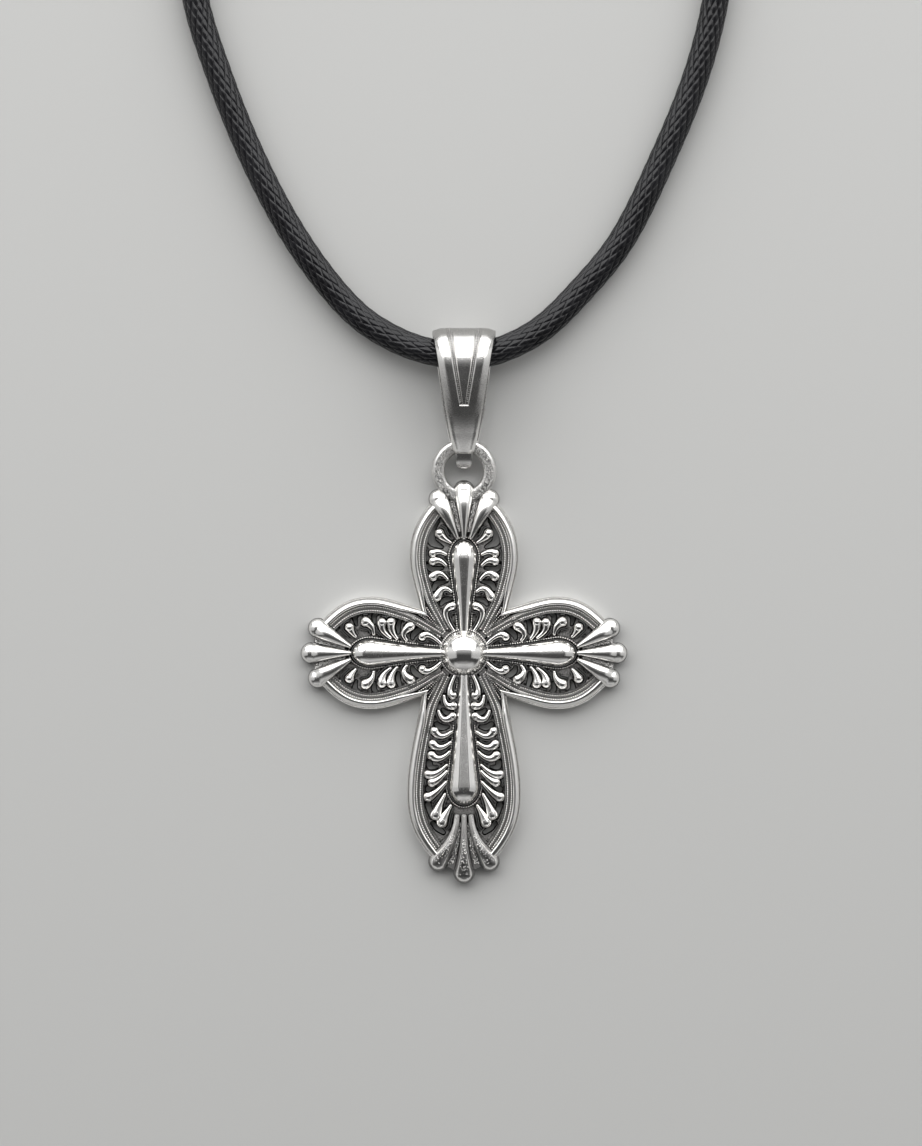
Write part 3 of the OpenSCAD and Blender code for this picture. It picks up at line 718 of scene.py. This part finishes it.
def rib(row, neighbours, gaps):
    """A curl with a round head, a curled line on the head and thin outlines that stop at gaps and at other
    ribs
    """
    tail, mid, head = (np.array(p, float) for p in row[:3])
    t = np.linspace(0, 1, 12)
    axis = bow(tail, 2 * mid - (tail + head) / 2, head, t[:, None])
    w = 0.18 + (row[3] - 0.03) * t**1.4
    tops = PLATE_T + (RIB_H - PLATE_T) * (0.7 + 0.3 * t)
    ribs.dome(axis, w, tops, SUNK_Z, steep=68, arc=8, rings=5)
    others = [[(a, 0.12), (b, 0.25), (c, r)] for a, b, c, r in neighbours if c != row[2]]
    curl = [head + 0.55 * w[-1] * np.array([math.cos(a), math.sin(a)]) for a in np.linspace(0, 1.7 * PI, 12)]
    ribs.ridge(curl, 0.05, float(tops[-1]) - 0.14, 0.14)
    for start, away, half, h in RIB_LINES:
        for run in clear_of_gaps(contour(axis[start:], w[start:], away, closed=False), gaps + others):
            ribs.ridge(run, half, PLATE_T, h)


def boss(arm):
    """Teardrop boss with a lip and a beaded border"""
    u = np.linspace(BALL_R - 0.4, arm.boss_at, 26)
    x = (u - u[0]) / (arm.boss_at - u[0])
    w = 0.42 + (arm.boss_half - 0.4) * x**1.35
    tops = PLATE_T + (BOSS_H - PLATE_T) * (0.5 + 0.5 * x)
    axis = np.stack([u, 0 * u], axis=1)
    # Its core is speckled, with a thin line of painted shade round it
    bosses.dome(axis, w, tops, SUNK_Z, steep=66, arc=24, rings=14, stretch=arm.boss_stretch, core=(1, 0.4, 2))
    lip, border = (contour(axis, w, away, closed=False, arc=16, stretch=arm.boss_stretch)
                   for away in (0.12, 0.36))
    bosses.ridge(lip, 0.08, PLATE_T, 0.6)
    beads.beads(border, 0.29, 0.145, PLATE_T, 0.4)


def lobe(arm, base, tip, r, bend):
    """A lobe of a fan on an outline in painted shade; the foot's lobes have a middle in painted shade under
    small beads
    """
    t = np.linspace(0, 1, 18)
    base, tip = np.array(base, float), np.array(tip, float)
    axis = bow(base, (base + tip) / 2 + bend * np.array([0.0, 1.0]), tip, t[:, None])
    w = arm.lobe_root + (r - arm.lobe_root) * t**arm.flare
    before, after = 0.68, 0.32  # shares of its length on either side of its crest
    fall = np.where(t < before, 0.55 * ((before - t) / before) ** 1.6, 0.5 * ((t - before) / after) ** 2)
    # The outer dome under each lobe is in painted shade
    fans.dome(axis, w, LOBE_H - 0.4 - fall, 0.02, steep=40, mat=1, arc=20, rings=4)
    w, steep = w - arm.outline, 62
    # The foot's lobe middles and the line round them are in painted shade
    core = (1, 0.7, 1) if arm.lobe_beads else None
    fans.dome(axis, w, LOBE_H - fall, 1.2, steep=steep, arc=20, rings=12, core=core)
    lean = math.sin(math.radians(steep))
    for _ in range(arm.lobe_beads):
        k, off = random.randint(7, 17), random.uniform(-0.6, 0.6)
        drop = (1 - math.sqrt(1 - (off * lean) ** 2)) / lean
        size = random.uniform(0.045, 0.075)
        place = axis[k] + normals(axis)[k] * off * w[k] + (random.uniform(-0.15, 0.15), 0)
        beads.bead(*place, LOBE_H - fall[k] - drop * w[k] - 0.02, size, size)


def half_hull(points):
    """One side of the outline round sorted points"""
    out = []
    for p in points:
        while len(out) > 1:
            (ax, ay), (bx, by) = out[-2:]
            if (bx - ax) * (p[1] - ay) - (by - ay) * (p[0] - ax) > 0:
                break
            out.pop()
        out.append(p)
    return out[:-1]


def fan(arm):
    """Three lobes, the plate between them and the stipple in its two wedges"""
    root, half_root = arm.fan_root, arm.lobe_root
    mid_tip, side_tip = np.array([arm.mid_tip, 0.0]), np.array(arm.side_tip, float)
    lobe(arm, (root, 0), mid_tip, MID_LOBE_R, 0)
    for flip in (1, -1):
        lobe(arm, (root, flip * SIDE_ROOT), side_tip * (1, flip), SIDE_LOBE_R, -0.12 * arm.flare**3 * flip)
    rounds = [(mid_tip - (0.9, 0), 0.95), (side_tip - (0.8, 0), 0.85), (side_tip * (1, -1) - (0.8, 0), 0.85),
              ((root + 1.0, 0.0), 0.5)]
    points = sorted({(x + r * math.cos(a), y + r * math.sin(a))
                     for (x, y), r in rounds for a in np.linspace(0, 2 * PI, 33)[:-1]})
    outline = half_hull(points) + half_hull(points[::-1])
    fans.grid([[(x, y, z) for x, y in outline] for z in (0.01, WEDGE_Z)], mat=2, loop=True, caps=True)
    for flip in (1, -1):
        for _ in range(WEDGE_BEADS):
            t = random.uniform(0.08, 1.0) ** 0.8
            low = half_root + (1.22 - half_root) * t**arm.flare
            high = SIDE_ROOT + (side_tip[1] - SIDE_ROOT) * t
            high -= (half_root + (1.15 - half_root) * t**arm.flare) * 0.9
            if high > low + 0.05:
                size = random.uniform(0.06, 0.1)
                beads.bead(root + (side_tip[0] + 0.3 - root) * t, flip * random.uniform(low, high), WEDGE_Z,
                           size, size * 1.2)


def round_boss():
    """The dome at the centre, on a lip in painted shade with a row of beads"""
    r, steep = BALL_R + 0.18, math.radians(78)
    bosses.lathe(LIP, 64, mat=2)
    cap = [(r * math.sin(a) / math.sin(steep), BALL_H - r * (1 - math.cos(a)) / math.sin(steep))
           for a in np.linspace(steep, 0, 22)]
    bosses.lathe([(r, PLATE_T)] + cap, 64)
    for i in range(LIP_BEADS):
        a = 2 * PI * i / LIP_BEADS
        beads.bead(LIP_MID * math.cos(a), LIP_MID * math.sin(a), 1.46, 0.11, 0.14)


for key, arm in ARMS.items():
    for flip in (1, -1):
        for cast in (rims, beads, ribs, bosses, fans):
            cast.at(arm.turn, flip)
        rim(arm, with_web=flip == 1)
        for row in RIBS[key]:
            rib(row, RIBS[key], GAPS[key])
        if flip == 1:
            boss(arm)
    for cast in (fans, beads):
        cast.at(arm.turn)
    fan(arm)
for cast in (bosses, beads):
    cast.at(0)
round_boss()

rims.make("cross_rims", [satin, stippled, channel], "antique_silver")
beads.make("cross_beading", [beaded], "antique_silver", sharp=80)
ribs.make("cross_ribs", [polished], "antique_silver", sharp=70)
bosses.make("cross_bosses", [polished, speckled, shade], "antique_silver", sharp=60)
fans.make("cross_fans", [satin, shade, pitted, matt], "antique_silver", sharp=60, back=3)


# Ring: it leans towards the viewer at its top
RING_SIDES, RING_STIPPLE = 96, 1500
RING_MID, RING_HALF_W, RING_HALF_T = (RING_IN + RING_OUT) / 2, (RING_OUT - RING_IN) / 2, RING_T / 2


def leaning(r, a, z):
    """A point of the ring: radius, way round and height in its own plane"""
    y = r * math.sin(a)
    return (r * math.cos(a), RING_Y + y * math.cos(RING_LEAN) - z * math.sin(RING_LEAN),
            RING_Z + y * math.sin(RING_LEAN) + z * math.cos(RING_LEAN))


def ring_section():
    """Radius and height from the flat back round the outer side and over the front to the inner side"""
    outer = [(RING_MID - RING_HALF_W * 0.85, -RING_HALF_T), (RING_MID + RING_HALF_W * 0.85, -RING_HALF_T),
             (RING_OUT, -0.7 * RING_HALF_T), (RING_OUT, 0.25 * RING_HALF_T)]
    outer += [(RING_MID + RING_HALF_W * math.cos(a) ** 0.8, RING_HALF_T * (0.25 + 0.68 * math.sin(a)))
              for a in np.linspace(0, PI / 2, 7)[1:]]
    inner = [(2 * RING_MID - r, z) for r, z in outer[-2:2:-1]]
    return outer + inner + [(RING_IN, -0.7 * RING_HALF_T)]


ring, section = Cast(), ring_section()
ring.grid([[leaning(r, 2 * PI * i / RING_SIDES, z) for r, z in section] for i in range(RING_SIDES)],
          loop=True, wrap=True, placed=True)
ring.m = [int(za > 0 and zb > 0 and abs((ra + rb) / 2 - RING_MID) < 0.66 * RING_HALF_W)
          for (ra, za), (rb, zb) in zip(section, section[1:] + section[:1])] * RING_SIDES
for _ in range(RING_STIPPLE):
    r = random.uniform(RING_IN + 0.22, RING_OUT - 0.33)
    off = abs(r - RING_MID) / RING_HALF_W
    p = leaning(r, random.uniform(0, 2 * PI), RING_HALF_T * (0.25 + 0.66 * (1 - off**2.4) ** 0.5))
    size = random.uniform(0.05, 0.09)
    ring.bead(*p, size, size * 0.9, placed=True)
ring.make("cross_ring", [matt, pitted], "antique_silver", sharp=70)


# Bail: FRONT_END is where the front's plate ends above the foot, thicker by END_EXTRA there
FRONT_END, END_EXTRA = 18.4, 0.12
# The strap's rounded edge: from the edge inwards and below the top
CROWN = ((0, 0.6), (0.08, 0.5), (0.4, 0.28), (0.75, 0.09), (1.1, 0.02), (1.5, 0))
# How far the front stands out along Y, so that it curves from the roll down to the foot
BULGE = [(18.4, 0.06), (20, 0.54), (21.5, 0.82), (23, 0.94), (25, 0.9), (27, 0.66), (28.6, 0.3), (29.3, 0.15),
         (30, 0.08), (30.5, 0.05), (33.4, 0)]
# The V's ends along Y, and how far its inner line, middle and outer line are from the centre at both ends
V_TOP, V_TIP, V_FADE = BAIL_END_Y, 24.28, 33.1
V_INNER, V_MIDDLE, V_OUTER = (0.13, 1.5), (0.3, 1.83), (0.47, 2.15)
# A place on the strap: middle and radius of its bend, the way outwards, thickness and place along Y
Spot = namedtuple("Spot", "y z r out thick reach")
bail = Cast()


def bail_loop():
    """Spots on the strap's inner side, over the roll, down the back, round the foot and up the front"""
    (y0, z0), (y1, z1) = BAIL_FOOT, BAIL_TOP
    base = math.atan2(z1 - z0, y1 - y0)
    tilt = math.acos((BAIL_FOOT_R - BAIL_TOP_R) / math.hypot(y1 - y0, z1 - z0))
    n, grow = 36, BAIL_FOOT_R - BAIL_TOP_R
    pts = [(y1, z1, BAIL_TOP_R, a) for a in np.linspace(base + tilt, base - tilt, n)]
    pts += [(y1 + (y0 - y1) * s, z1 + (z0 - z1) * s, BAIL_TOP_R + grow * s, base - tilt)
            for s in np.linspace(0, 1, n)[1:-1]]
    pts += [(y0, z0, BAIL_FOOT_R, a) for a in np.linspace(base - tilt, base + tilt - 2 * PI, n)]
    pts += [(y1 + (y0 - y1) * s, z1 + (z0 - z1) * s, BAIL_TOP_R + grow * s, base + tilt)
            for s in np.linspace(1, 0, n)[1:-1]]
    return [Spot(y, z, r, a, STRAP_T, y + r * math.cos(a) + STRAP_T * math.cos(a)) for y, z, r, a in pts]


def on_strap(x, up, at):
    """A point of the strap, up above its inner side"""
    return (x, at.y + (at.r + up) * math.cos(at.out), at.z + (at.r + up) * math.sin(at.out))


def width_at(y, outline):
    """Half the strap's width at a place along Y"""
    ys, ws = zip(*outline[::-1])
    return float(np.interp(y, ys, ws))


def strap_row(at, w, t, crown_share):
    """The strap's section at a spot: half as wide as w, and as thick as t in its middle"""
    crown = [(-w + e * min(w / 1.7, 1), t - d * crown_share) for e, d in CROWN]
    section = [(-w, 0.1)] + crown + [(0, t)] + [(-x, up) for x, up in crown[::-1]]
    section += [(w, 0.1), (w - 0.1, 0), (-w + 0.1, 0)]
    return [on_strap(x, up, at) for x, up in section]


def make_strap():
    """Lays the strap, and returns the spots of its front from the top down"""
    bulge_line = relax(resample(BULGE, 0.1), 60)
    rows, spots, on_plate = [], [], False
    for at in bail_loop():
        front = 0.5 + 0.5 * math.tanh((math.sin(at.out) - 0.1) * 6)
        above = at.reach > FRONT_END
        w = (1 - front) * width_at(at.reach, STRAP_OUTLINE)
        w += front * width_at(at.reach, FRONT_OUTLINE if above else STRAP_OUTLINE)
        if on_plate and not above:
            rows.append(strap_row(at, FRONT_OUTLINE[-1][1], STRAP_T + FRONT_EXTRA + END_EXTRA, 0.8))
        on_plate = above and front > 0.5
        bulge = float(np.interp(at.reach, bulge_line[:, 0], bulge_line[:, 1]))
        if above:
            bulge += FRONT_EXTRA + END_EXTRA * clamp((21 - at.reach) / 2.5)
        t = STRAP_T + front * bulge
        rows.append(strap_row(at, w, t, 0.25 + 0.75 * front if above else 0.3))
        if front > 0.6 and above:
            spots.append(at._replace(thick=t))
    bail.grid(rows, loop=True, wrap=True, placed=True)
    return sorted(spots, key=lambda at: -at.reach)


def on_front(x, up, at):
    """A point of the strap's front, up above its surface"""
    return on_strap(x, at.thick + up, at)


def v_x(ends, at):
    """How far a line of the V is from the centre at a spot"""
    return ends[0] + (ends[1] - ends[0]) * (at.reach - V_TIP) / (V_TOP - V_TIP)


def v_line(side, ends, half):
    """A thin line of the V that fades out at the roll"""
    strip = []
    for at in v_spots:
        x, fade = side * v_x(ends, at), clamp((V_FADE - at.reach) / 0.9)
        strip.append([on_front(x + o * half, up * fade - 0.05, at)
                      for o, up in ((-1, 0), (-0.8, 0.13), (0, 0.2), (0.8, 0.13), (1, 0))])
    bail.grid(strip, placed=True)


def v_tip():
    """The bar that joins the V's lines at their lower end"""
    upwards = np.array(front_spots[::-1])
    rows = []
    for off, up in ((-0.13, -0.05), (-0.1, 0.1), (0, 0.16), (0.1, 0.1), (0.13, -0.05)):
        at = Spot(*[np.interp(V_TIP + off, upwards[:, 5], upwards[:, k]) for k in range(6)])
        rows.append([on_front(x, up, at) for x in np.linspace(-0.56, 0.56, 5)])
    bail.grid(rows, placed=True)


front_spots = make_strap()
v_spots = [at for at in front_spots if V_TIP <= at.reach <= V_TOP]
for ends, half in ((V_OUTER, 0.1), (V_INNER, 0.085)):
    for side in (-1, 1):
        v_line(side, ends, half)
for side in (-1, 1):
    bail.grid([[on_front(side * v_x(ends, at), 0.02, at) for ends in (V_INNER, V_MIDDLE, V_OUTER)]
               for at in v_spots], mat=1, placed=True)
middle = np.array([on_front(v_x(V_MIDDLE, at), 0, at) for at in v_spots])
for side in (-1, 1):
    for p in resample(middle * (side, 1, 1), 0.24)[3:-1]:
        bail.bead(*p, 0.11, 0.13, placed=True)
v_tip()
bail_obj = bail.make("bail_strap", [strap, pitted], "antique_silver", sharp=28)
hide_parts("bail")


# Stage and light, in metres
def floor_material():
    m, nt, bsdf = material("floor_pale")
    bsdf.inputs["Base Color"].default_value = (0.5, 0.5, 0.49, 1)
    bsdf.inputs["Roughness"].default_value = 0.85
    return m


bpy.ops.mesh.primitive_plane_add(size=4, location=(0, 0, 0))
floor = bpy.context.object
floor.name = "floor"
floor.data.materials.append(floor_material())


def softbox(name, at, size, watts):
    """A soft light that faces the frame's middle"""
    light = bpy.data.lights.new(name, "AREA")
    light.shape = "RECTANGLE"
    light.size, light.size_y = size
    light.energy = watts
    obj = bpy.data.objects.new(name, light)
    obj.location = at
    obj.rotation_euler = (-Vector(at)).to_track_quat("-Z", "Y").to_euler()
    bpy.context.scene.collection.objects.link(obj)


softbox("key", (0, 0.4125, 0.3166), (1.5, 0.69), 8.0)
softbox("left", (-0.42, 0.0, 0.2), (0.42, 0.44), 0.26)
softbox("right", (0.42, 0.0, 0.2), (0.42, 0.44), 0.26)
softbox("front", (0, -0.5, 0.16), (0.9, 0.24), 0.12)

# How bright the surroundings are, from the foot's side to the cord's
SKY = [(0.0, 0.2), (0.07, 0.4), (0.13, 0.25), (0.19, 0.056), (0.42, 0.056), (0.5, 0.18), (0.53, 0.28),
       (0.63, 0.505), (0.71, 0.253)]
world = bpy.data.worlds.new("world")
bpy.context.scene.world = world
world.use_nodes = True
wt = world.node_tree
height = spread(wt, along_y(wt, wt.nodes.new("ShaderNodeTexCoord").outputs["Generated"]), -1.0, 1.0)
wt.links.new(ramp(wt, height, SKY), wt.nodes["Background"].inputs["Color"])
bpy.context.scene.view_settings.view_transform = "Standard"
